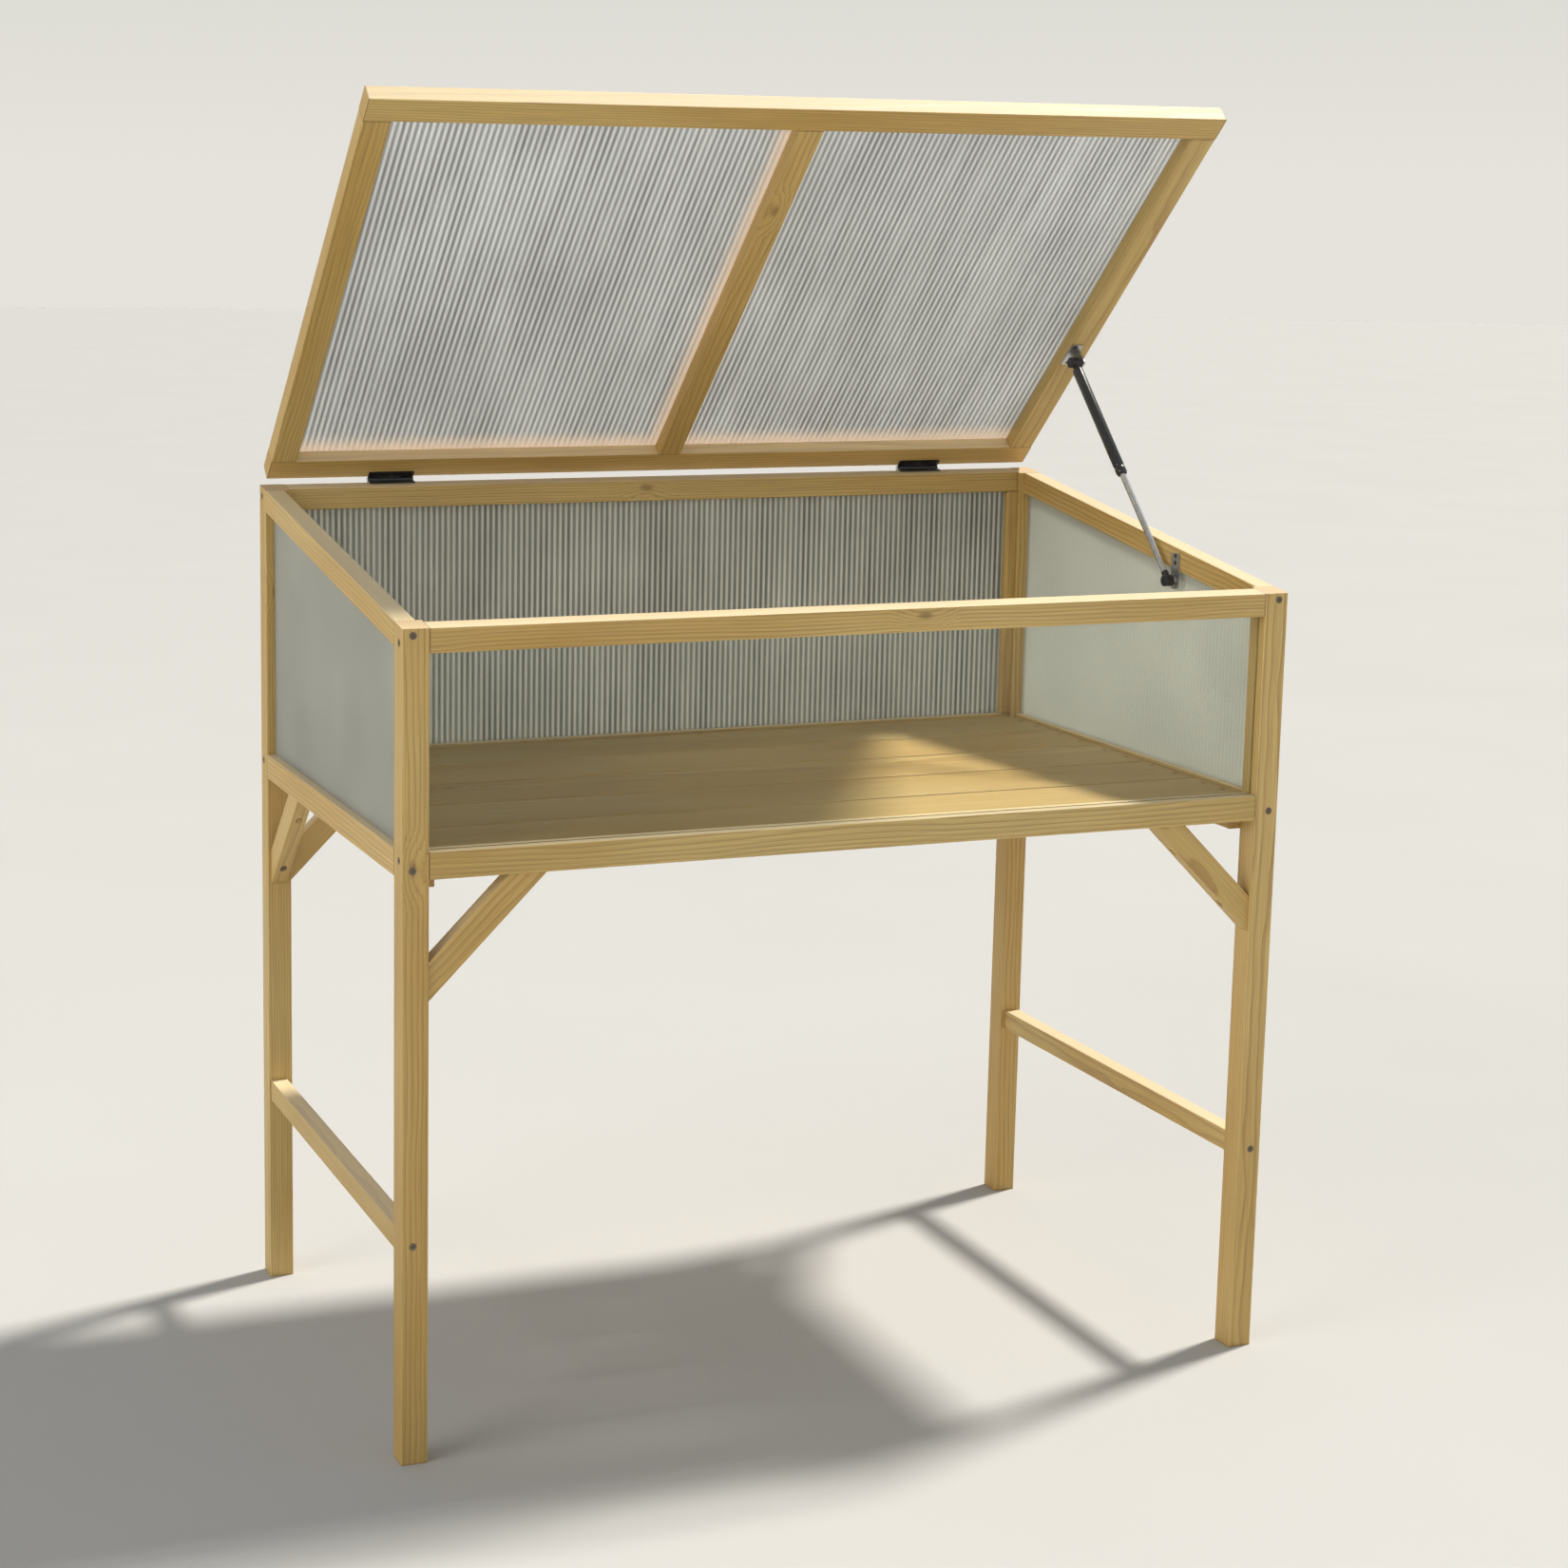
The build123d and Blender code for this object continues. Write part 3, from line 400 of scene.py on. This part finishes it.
def pine(name, mesh, along, knots=(), shade=1.0, top_light_share=0.5):
    """Planed pine: growth rings about a heart outside the bar, fibres, knots and end grain."""
    settings = bpy.context.scene.cold_frame.timber
    draw = random.Random(name)
    middle, turn, half = bar_place(mesh, along)
    shader = Shader("pine_" + name)
    local = shader.turned(shader.object_place(), middle, turn)
    offset = [draw.uniform(-9, 9) for _ in range(3)]
    loose = shader.vector("ADD", local, offset)

    heart = draw.uniform(0.045, 0.11)
    angle = draw.uniform(0, 2 * math.pi)
    lean = draw.uniform(-0.012, 0.012)
    u, v, w = shader.parts(local)
    v_off = v - heart * math.cos(angle) + u * lean
    w_off = w - heart * math.sin(angle)
    radius = (v_off * v_off + w_off * w_off) ** 0.5
    wander = shader.noise(shader.vector("MULTIPLY", loose, WANDER), detail=2)
    ripple = shader.noise(shader.vector("MULTIPLY", loose, RIPPLE), detail=1)
    inside, bend, knot_rings = knot_field(shader, local, knots, settings.knot_radius)
    pitch = settings.ring_pitch * draw.uniform(0.85, 1.2)
    rings = radius / pitch + wander * 3.2 + ripple * 0.5 + bend * 2.2
    phase = rings.fraction()
    late = phase ** 3 * phase.step(1.0, 0.93)

    fibre = shader.noise(shader.vector("MULTIPLY", loose, FIBRES), detail=3)
    streak = shader.noise(shader.vector("MULTIPLY", loose, STREAKS), detail=2)
    patch = shader.noise(shader.vector("MULTIPLY", loose, PATCHES), detail=2)

    colour = shader.mix(rgb(settings.pale), rgb(settings.honey), patch.step(0.3, 0.75))
    colour = shader.mix(colour, rgb(settings.ring), late * 0.80)
    colour = shader.mix(colour, rgb(settings.honey), streak.step(0.45, 0.8, 0, 0.35))
    grey = fibre.step(0.25, 0.75, 0.86 * shade, 1.07 * shade)
    warm = draw.uniform(-0.03, 0.03)
    lift = shader.add("ShaderNodeCombineColor", inputs={
        0: grey * (1 + warm), 1: grey, 2: grey * (1 - warm),
    }).value(0)
    colour = shader.mix(colour, lift, 1.0, "MULTIPLY")

    # Painted highlight: the faces that look up are mixed towards a pale cream, as if lit by the
    # key light from above; the floor boards get none of it.
    upward = shader.parts(shader.object_normal())[2].step(0.35, 0.85)
    colour = shader.mix(colour, rgb(settings.painted_top_light), upward * top_light_share)
    facing = shader.vector("DOT_PRODUCT", shader.object_normal(), along).size()
    end = facing.step(0.75, 0.95)
    colour = shader.mix(colour, rgb(settings.ring), end * (0.22 + late * 0.4))
    side_gap = (v.size() - half.y + EASED_EDGE).math("MAXIMUM", 0.0)
    face_gap = (w.size() - half.z + EASED_EDGE).math("MAXIMUM", 0.0)
    edge = (side_gap * face_gap * 1.0e6).step(0.15, 1.0)
    # The long edges are mixed towards the pale wood: partly wear, partly a painted highlight along
    # the edges.
    worn_and_highlit = edge * shader.noise(shader.vector("MULTIPLY", loose, WEAR_AND_HIGHLIGHT), detail=2)
    colour = shader.mix(colour, rgb(settings.pale), worn_and_highlit * 0.55)
    tip = (u.size() - half.x + JOINT_SHADE).step(0.0, 0.0015)
    colour = shader.mix(colour, rgb(settings.knot), tip * (1 - end) * 0.60)
    if knots:
        colour = shader.mix(colour, rgb(settings.knot), inside * (0.38 + 0.22 * knot_rings))

    roughness = 0.50 + 0.16 * fibre - 0.10 * late + 0.14 * end
    height = fibre * 0.45 + late * 0.55
    normal = shader.bump(height, 0.00022, 0.8)
    return shader.finish(shader.surface(
        Base_Color=colour, Roughness=roughness, Normal=normal, Coat_Weight=0.06,
        Coat_Roughness=0.35,
    ))


def timber_bars():
    """Each timber node of the frame and the lid, with the direction of its grain."""
    bars = {}
    for node in nodes:
        if node.endswith("_post"):
            bars[node] = Z_AXIS
        elif node.endswith(("bottom_rail", "top_rail", "stretcher")):
            across = node.startswith(("front", "back"))
            bars[node] = X_AXIS if across else lie(node, X_AXIS)
        elif node.startswith("lid_") and node.endswith("_rail"):
            bars[node] = X_AXIS
        elif node.endswith(("_stile", "_muntin", "_side_brace")):
            bars[node] = lie(node, X_AXIS)
        elif node.endswith("_brace"):
            bars[node] = lie(node, Y_AXIS)
        elif node.endswith("_ledger"):
            bars[node] = Y_AXIS
        elif node.startswith("floor_board"):
            bars[node] = X_AXIS
    return bars


def random_knots(node, along):
    """One or two small knots on some of the bars."""
    draw = random.Random("knot " + node)
    half = bar_place(nodes[node].data, along)[2]
    knots = []
    for _ in range(draw.choice((0, 0, 1, 1, 2)) if half.x > 0.2 else 0):
        face = draw.choice(((0.6, 1.0), (1.0, -0.3), (-1.0, 0.2), (-0.2, -1.0)))
        knots.append((
            draw.uniform(-0.85, 0.85) * half.x, face[0] * half.y, face[1] * half.z,
        ))
    return knots


class COLDFRAME_OT_timber(bpy.types.Operator):
    """Gives each bar of the frame, the lid and the floor its own piece of pine"""

    bl_idname = "coldframe.timber"
    bl_label = "Timber"

    def execute(self, context):
        for node, along in timber_bars().items():
            knots = random_knots(node, along)
            if node == "back_top_rail":
                half = bar_place(nodes[node].data, along)[2]
                knots = [(-0.03, -half.y, 0.15 * half.z)]
            if node.startswith("floor"):
                material = pine(node, nodes[node].data, along, knots, shade=0.94, top_light_share=0.0)
            else:
                material = pine(node, nodes[node].data, along, knots)
            dress(node, material)
        dress("lid_dowels", dowel_wood())
        return {"FINISHED"}


def dowel_wood():
    """Hard, plain wood of the dowels."""
    shader = Shader("dowel_wood")
    place = shader.object_place()
    fibre = shader.noise(shader.vector("MULTIPLY", place, (900, 900, 900)), detail=2)
    colour = shader.mix((0.46, 0.27, 0.12, 1), (0.58, 0.37, 0.18, 1), fibre)
    return shader.finish(shader.surface(Base_Color=colour, Roughness=0.55 + 0.1 * fibre))


# ---------------------------------------------------------------- sheets
def twin_wall(node, across, tone, contrast, clear, glow=0.0, edge_glow=False):
    """Frosted twin-wall sheet with its ribs a pitch apart along the across axis."""
    settings = bpy.context.scene.cold_frame.sheet
    low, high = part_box(node)
    span = high[across] - low[across]
    ribs = int((span - 0.001) / settings.rib_pitch)
    start = (low[across] + high[across]) / 2 - ribs * settings.rib_pitch / 2
    shader = Shader("twin_wall_" + node)
    place = shader.object_place()
    along = shader.parts(place)[across]
    phase = ((along - start) / settings.rib_pitch).fraction()
    rib = (phase - 0.5).size().step(0.14, 0.36)
    line = (phase - 0.5).size().step(0.40, 0.5)
    cloud = shader.noise(shader.vector("MULTIPLY", place, (5, 5, 5)), detail=2)
    drift = shader.noise(shader.vector("MULTIPLY", place, (70, 6, 6)), detail=1)
    # The cloud term gives soft lighter and darker blotches: a painted shade like the shadows of
    # plants falling on the sheets.
    shade = 1 - contrast * rib * drift.step(0.2, 0.8, 0.65, 1.0) + 0.18 * (cloud - 0.5)
    colour = shader.mix(rgb(tone), shader.grey(shade), 1.0, "MULTIPLY")
    if glow:
        # Painted light: a warm band where the timber throws its light on the sheet.
        band = painted_glow_band(shader, node, place, edge_glow)
        colour = shader.mix(colour, rgb(settings.glow), band * glow)
    roughness = 0.30 + 0.14 * cloud
    normal = shader.bump(rib + 0.08 * cloud, 0.0004, 0.55)
    solid = shader.surface(
        Base_Color=colour, Roughness=roughness, Normal=normal, IOR=1.58, Coat_Weight=0.15,
        Coat_Roughness=0.12,
    )
    through = shader.add("ShaderNodeBsdfTranslucent", inputs={"Color": colour}).value(0)
    milky = shader.add("ShaderNodeMixShader", inputs={
        0: settings.milkiness, 1: solid, 2: through,
    }).value(0)
    gap = shader.add("ShaderNodeBsdfTransparent").value(0)
    share = 1 - clear * (1 - 0.75 * line)
    return shader.finish(
        shader.add("ShaderNodeMixShader", inputs={0: share, 1: gap, 2: milky}).value(0)
    )


def painted_glow_band(shader, node, place, edge_glow):
    """Share of the painted warm light beside the back rail, and along the right edge where asked:
    the light that the timber throws on the sheet.
    """
    width = bpy.context.scene.cold_frame.sheet.glow_width
    middle, turn, half = bar_place(nodes[node].data, lie("lid_muntin", X_AXIS))
    along = shader.parts(shader.turned(place, middle, turn))[0]
    toward_hinge = 1 if (turn.to_matrix() @ X_AXIS).y > 0 else -1
    hinge = (half.x - along * toward_hinge).step(width * 1.5, width * 0.4)
    if not edge_glow:
        return hinge
    right = (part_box(node)[1].x - shader.parts(place)[0]).step(width * 1.1, width * 0.35)
    return right.math("MAXIMUM", hinge)


def clear_pane(node):
    """Clear sheet that shows only by its gloss."""
    shader = Shader("clear_" + node)
    place = shader.object_place()
    smear = shader.noise(shader.vector("MULTIPLY", place, (3, 3, 8)), detail=3)
    facing = shader.add("ShaderNodeLayerWeight", inputs={"Blend": 0.35}).value("Fresnel")
    gloss = shader.surface(
        Base_Color=(0.82, 0.88, 0.86, 1), Roughness=0.03 + 0.05 * smear, IOR=1.49,
    )
    gap = shader.add("ShaderNodeBsdfTransparent", inputs={0: (0.985, 0.995, 0.99, 1)}).value(0)
    share = 0.012 + 0.16 * facing
    return shader.finish(
        shader.add("ShaderNodeMixShader", inputs={0: share, 1: gap, 2: gloss}).value(0)
    )


class COLDFRAME_OT_sheets(bpy.types.Operator):
    """Finishes the twin-wall sheets of the lid and the walls and the clear front pane"""

    bl_idname = "coldframe.sheets"
    bl_label = "Sheets"

    def execute(self, context):
        settings = context.scene.cold_frame.sheet
        for node in ("lid_left_panel", "lid_right_panel"):
            dress(node, twin_wall(
                node, 0, settings.lid, settings.lid_ribs, settings.clearness, glow=0.8,
                edge_glow=node == "lid_left_panel",
            ))
        dress("back_panel", twin_wall(
            "back_panel", 0, settings.back, settings.back_ribs, settings.clearness
        ))
        for node in ("left_side_panel", "right_side_panel"):
            dress(node, twin_wall(
                node, 1, settings.side, settings.side_ribs, settings.side_clearness
            ))
        dress("front_pane", clear_pane("front_pane"))
        return {"FINISHED"}


# ---------------------------------------------------------------- modelled pieces
def keep(piece, name, body, material):
    """Names a finished piece, seats it on its body and gives it its finish."""
    bpy.ops.object.transform_apply(location=True, rotation=True, scale=True)
    piece.name = name
    piece.data.name = name
    dress(piece, material)
    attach(piece, body)
    bpy.ops.object.select_all(action="DESELECT")


def select_edges(piece, wanted):
    """Selects the edges whose middle and direction pass the test. Ends in edit mode."""
    bpy.ops.object.mode_set(mode="EDIT")
    bpy.ops.mesh.select_mode(type="EDGE")
    bpy.ops.mesh.select_all(action="DESELECT")
    bpy.ops.object.mode_set(mode="OBJECT")
    points = piece.data.vertices
    for edge in piece.data.edges:
        one, two = (points[i].co for i in edge.vertices)
        edge.select = wanted((one + two) / 2, (two - one).normalized())
    bpy.ops.object.mode_set(mode="EDIT")


def corner_batten(side):
    """Glazing bead that stands in a rear corner, in front of the back sheet."""
    settings = bpy.context.scene.cold_frame.timber
    post_low, post_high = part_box(f"back_{side}_post")
    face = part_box("back_panel")[0].y
    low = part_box("back_bottom_rail")[1].z
    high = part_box("back_top_rail")[0].z
    width, thick = settings.bead_width, settings.bead_thickness
    inward = 1 if side == "left" else -1
    edge = post_high.x if side == "left" else post_low.x
    bpy.ops.mesh.primitive_cube_add(size=1)
    piece = bpy.context.object
    bpy.ops.transform.resize(value=(width, thick, high - low))
    bpy.ops.transform.translate(
        value=(edge + inward * width / 2, face - thick / 2, (low + high) / 2)
    )
    bpy.ops.object.transform_apply(location=True, rotation=True, scale=True)
    free = edge + inward * width
    select_edges(piece, lambda middle, way: (
        abs(way.z) > 0.9 and abs(middle.x - free) < 1e-4 and middle.y < face - thick / 2
    ))
    bpy.ops.mesh.bevel(offset=thick * 0.42, segments=5, affect="EDGES")
    bpy.ops.object.mode_set(mode="OBJECT")
    bevel = piece.modifiers.new("ease", "BEVEL")
    bevel.width = BEAD_EASE
    bevel.segments = 2
    bevel.limit_method = "ANGLE"
    bpy.ops.object.modifier_apply(modifier="ease")
    bpy.ops.object.shade_smooth_by_angle(angle=math.radians(35))
    name = f"back_{side}_bead"
    keep(piece, name, "frame", pine(name, piece.data, Z_AXIS))


class COLDFRAME_OT_beads(bpy.types.Operator):
    """Stands a glazing bead in each rear corner of the box"""

    bl_idname = "coldframe.beads"
    bl_label = "Corner Beads"

    def execute(self, context):
        for side in ("left", "right"):
            corner_batten(side)
        return {"FINISHED"}


def turned_piece(rings, sides=48):
    """Closed round piece about Z, drawn out ring by ring: (height, radius) from the top."""
    top, first = rings[0]
    bpy.ops.mesh.primitive_circle_add(
        vertices=sides, radius=first, location=(0, 0, top), fill_type="NGON"
    )
    piece = bpy.context.object
    bpy.ops.object.transform_apply(location=True, rotation=False, scale=False)
    bpy.ops.object.mode_set(mode="EDIT")
    bpy.ops.mesh.select_mode(type="FACE")
    bpy.ops.mesh.select_all(action="SELECT")
    height, radius = top, first
    for next_height, next_radius in rings[1:]:
        bpy.ops.mesh.extrude_region_move(
            TRANSFORM_OT_translate={"value": (0, 0, next_height - height)}
        )
        scale = next_radius / radius
        bpy.ops.transform.resize(
            value=(scale, scale, 1), center_override=(0, 0, next_height)
        )
        height, radius = next_height, next_radius
    bpy.ops.mesh.select_all(action="SELECT")
    bpy.ops.mesh.normals_make_consistent(inside=False)
    bpy.ops.object.mode_set(mode="OBJECT")
    bpy.ops.object.shade_smooth_by_angle(angle=math.radians(32))
    return piece


def strut_line():
    """Upper pivot of the strut and the turn that lays local Z up along it."""
    slide = next(j for j in frame["joints"] if j["name"] == "strut_slide")
    swing = next(j for j in frame["joints"] if j["name"] == "strut_swing")
    up = -Vector(slide["axis"])
    return Vector(swing["pos_m"]), up.to_track_quat("Z", "Y").to_matrix().to_4x4()


class COLDFRAME_OT_strut(bpy.types.Operator):
    """Draws the strut's tube with its rolled neck and the seal that wipes the rod"""

    bl_idname = "coldframe.strut"
    bl_label = "Strut Tube"

    def execute(self, context):
        pivot, turn = strut_line()
        back = turn.inverted()
        points = [back @ (v.co - pivot) for v in nodes["strut_tube"].data.vertices]
        top = max(p.z for p in points)
        low = min(p.z for p in points)
        radius = max(p.x for p in points)
        groove = low + NECK_UP
        rings = [
            (top - 0.0001, radius * 0.55), (top, radius * 0.70), (top - 0.0004, radius * 0.86),
            (top - 0.0013, radius * 0.97), (top - 0.0024, radius), (groove + NECK_HALF, radius),
            (groove + 0.0014, radius * 0.965), (groove, radius * 0.92),
            (groove - 0.0014, radius * 0.965), (groove - NECK_HALF, radius),
            (low + 0.0028, radius), (low + 0.0013, radius * 0.96), (low + 0.0004, radius * 0.86),
            (low, radius * 0.74), (low + 0.0002, radius * 0.66),
        ]
        tube = turned_piece(rings)
        self.seat(tube, pivot, turn)
        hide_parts("strut_tube")
        keep(tube, "strut_tube_drawn", "strut_cylinder", gloss_black())
        seal = turned_piece([
            (low + 0.0002, radius * 0.66), (low - 0.0006, radius * 0.655),
            (low - 0.0010, radius * 0.62), (low - 0.0011, radius * 0.57),
        ])
        self.seat(seal, pivot, turn)
        keep(seal, "strut_rod_seal", "strut_cylinder", moulded())
        return {"FINISHED"}

    def seat(self, piece, pivot, turn):
        """Moves a piece made about the origin to the strut's own place."""
        piece.matrix_world = Matrix.Translation(pivot) @ turn
        bpy.context.view_layer.update()


# ---------------------------------------------------------------- fittings
def gloss_black():
    """Black gloss paint of the strut with faint draw marks."""
    shader = Shader("gloss_black")
    place = shader.object_place()
    marks = shader.noise(place, 240, 3, 0.6)
    black = bpy.context.scene.cold_frame.fitting.black
    colour = shader.mix(rgb(black), (0.05, 0.05, 0.053, 1), marks.step(0.6, 0.9))
    return shader.finish(shader.surface(
        Base_Color=colour, Roughness=0.12 + 0.14 * marks, Coat_Weight=0.8, Coat_Roughness=0.06,
        Normal=shader.bump(marks, 0.00002, 0.3),
    ))


def powder_coat():
    """Black coat with a fine orange-peel skin, rubbed on its high spots."""
    shader = Shader("black_coat")
    place = shader.object_place()
    peel = shader.noise(place, 1400, 2)
    rub = shader.noise(place, 90, 4, 0.65)
    black = bpy.context.scene.cold_frame.fitting.black
    colour = shader.mix(rgb(black), (0.055, 0.055, 0.057, 1), rub.step(0.55, 0.85))
    return shader.finish(shader.surface(
        Base_Color=colour, Roughness=0.22 + 0.16 * rub, Coat_Weight=0.5, Coat_Roughness=0.12,
        Normal=shader.bump(peel, 0.00004, 0.4),
    ))


def plated(name, colour, rough):
    """Plated or ground metal with a fine grain and dull patches."""
    shader = Shader(name)
    place = shader.object_place()
    fine = shader.noise(place, 1600, 2)
    dull = shader.noise(place, 160, 3, 0.6)
    dark = [0.72 * c for c in colour]
    tone = shader.mix(rgb(colour), rgb(dark), dull.step(0.4, 0.8))
    return shader.finish(shader.surface(
        Base_Color=tone, Metallic=1.0, Roughness=rough + 0.14 * dull + 0.06 * fine,
        Normal=shader.bump(fine, 0.00003, 0.4),
    ))


def moulded():
    """Black moulded plastic."""
    shader = Shader("moulded_black")
    place = shader.object_place()
    grain = shader.noise(place, 1100, 2)
    scuff = shader.noise(place, 120, 3)
    black = bpy.context.scene.cold_frame.fitting.plastic
    colour = shader.mix(rgb(black), (0.05, 0.05, 0.052, 1), scuff.step(0.5, 0.8))
    return shader.finish(shader.surface(
        Base_Color=colour, Roughness=0.42 + 0.14 * scuff, Normal=shader.bump(grain, 0.00005, 0.5),
    ))


class COLDFRAME_OT_fittings(bpy.types.Operator):
    """Finishes the hinges, the gas strut, the brackets and the screws"""

    bl_idname = "coldframe.fittings"
    bl_label = "Fittings"

    def execute(self, context):
        settings = context.scene.cold_frame.fitting
        black = powder_coat()
        plastic = moulded()
        zinc = plated("zinc_plate", settings.zinc, 0.30)
        screw = plated("screw_plate", settings.screw, 0.34)
        rod = plated("ground_rod", settings.rod, 0.07)
        finishes = {
            "leaf": black, "strut_tube": black, "screws": screw, "bracket": zinc,
            "strut_rod": rod, "pins": rod, "ball": rod, "socket": plastic, "piston": plastic,
            "guide": plastic,
        }
        for node in nodes:
            for ending, material in finishes.items():
                if node.endswith(ending):
                    dress(node, material)
        return {"FINISHED"}


# ---------------------------------------------------------------- studio
def soft_light(name, place, target, width, power, colour):
    """A square area light that faces a point."""
    bpy.ops.object.light_add(type="AREA", location=place)
    light = bpy.context.object
    light.name = name
    light.data.size = width
    light.data.energy = power
    light.data.color = colour
    light.rotation_euler = (Vector(target) - Vector(place)).to_track_quat("-Z", "Y").to_euler()


class COLDFRAME_OT_studio(bpy.types.Operator):
    """Sets the pale floor, the soft lights and the camera"""

    bl_idname = "coldframe.studio"
    bl_label = "Studio"

    def execute(self, context):
        settings = context.scene.cold_frame.studio
        bpy.ops.mesh.primitive_circle_add(vertices=96, radius=40, fill_type="NGON")
        floor = context.object
        floor.name = "studio_floor"
        dress(floor, floor_paint(settings.floor))
        aim = (0, 0, 0.75)
        bpy.ops.object.light_add(type="SUN", rotation=settings.sun_turn)
        sun = context.object
        sun.name = "key"
        sun.data.energy = settings.sun_power
        sun.data.angle = settings.sun_softness
        sun.data.color = (1.0, 0.95, 0.86)
        soft_light(
            "fill", settings.fill_place, aim, settings.fill_size, settings.fill_power,
            (1.0, 0.96, 0.90),
        )
        context.scene.world = self.sky(settings)
        context.scene.view_settings.view_transform = "Standard"
        self.camera(context, settings)
        return {"FINISHED"}

    def sky(self, settings):
        """A pale surround, brightest at the horizon."""
        shader = Shader("studio_world", "worlds")
        place = shader.add("ShaderNodeTexCoord").value("Generated")
        height = (shader.parts(place)[2] - SKY_LOW) / (SKY_HIGH - SKY_LOW)
        colour = shader.mix(rgb(settings.horizon), rgb(settings.zenith), height)
        glow = shader.add("ShaderNodeBackground", inputs={"Color": colour}).value(0)
        return shader.finish(glow, "ShaderNodeOutputWorld")

    def camera(self, context, settings):
        """A camera that looks along its yaw and pitch."""
        yaw, pitch, roll = settings.yaw, settings.pitch, settings.roll
        ahead = Vector((
            math.sin(yaw) * math.cos(pitch), math.cos(yaw) * math.cos(pitch), math.sin(pitch)
        ))
        right = Vector((math.cos(yaw), -math.sin(yaw), 0))
        up = right.cross(ahead)
        across = math.cos(roll) * right + math.sin(roll) * up
        upright = math.cos(roll) * up - math.sin(roll) * right
        bpy.ops.object.camera_add(location=settings.eye)
        camera = context.object
        camera.name = "studio_camera"
        camera.rotation_euler = Matrix((across, upright, -ahead)).transposed().to_euler()
        camera.data.lens = settings.lens
        camera.data.shift_x, camera.data.shift_y = settings.shift
        context.scene.camera = camera


def floor_paint(colour):
    """Pale painted floor with a faint unevenness."""
    shader = Shader("floor_paint")
    cloud = shader.noise(shader.object_place(), 1.5, 3)
    tone = shader.mix(rgb(colour), rgb([0.94 * c for c in colour]), cloud)
    return shader.finish(shader.surface(Base_Color=tone, Roughness=0.75 + 0.1 * cloud))


# ---------------------------------------------------------------- panel and register
class COLDFRAME_PT_panel(bpy.types.Panel):
    """Lists the steps"""

    bl_label = "Cold Frame"
    bl_idname = "COLDFRAME_PT_panel"
    bl_space_type = "VIEW_3D"
    bl_region_type = "UI"
    bl_category = "Cold Frame"

    def draw(self, context):
        for step in STEPS:
            self.layout.operator(step.bl_idname)
        for group in ("timber", "sheet", "fitting", "studio"):
            box = self.layout.box()
            settings = getattr(context.scene.cold_frame, group)
            for name in settings.bl_rna.properties.keys():
                if name not in ("rna_type", "name"):
                    box.prop(settings, name)


STEPS = (
    COLDFRAME_OT_timber,
    COLDFRAME_OT_beads,
    COLDFRAME_OT_sheets,
    COLDFRAME_OT_fittings,
    COLDFRAME_OT_strut,
    COLDFRAME_OT_studio,
)
CLASSES = (
    TimberSettings,
    SheetSettings,
    FittingSettings,
    StudioSettings,
    ColdFrameSettings,
    *STEPS,
    COLDFRAME_PT_panel,
)


def register():
    """Makes the classes and the settings known to Blender."""
    for each in CLASSES:
        bpy.utils.register_class(each)
    bpy.types.Scene.cold_frame = bpy.props.PointerProperty(type=ColdFrameSettings)


def unregister():
    """Takes the classes and the settings away again."""
    del bpy.types.Scene.cold_frame
    for each in reversed(CLASSES):
        bpy.utils.unregister_class(each)


def main():
    """Registers the add-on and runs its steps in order."""
    register()
    bpy.ops.object.select_all(action="DESELECT")
    for step in STEPS:
        group, name = step.bl_idname.split(".")
        getattr(getattr(bpy.ops, group), name)()


if __name__ == "__main__":
    main()
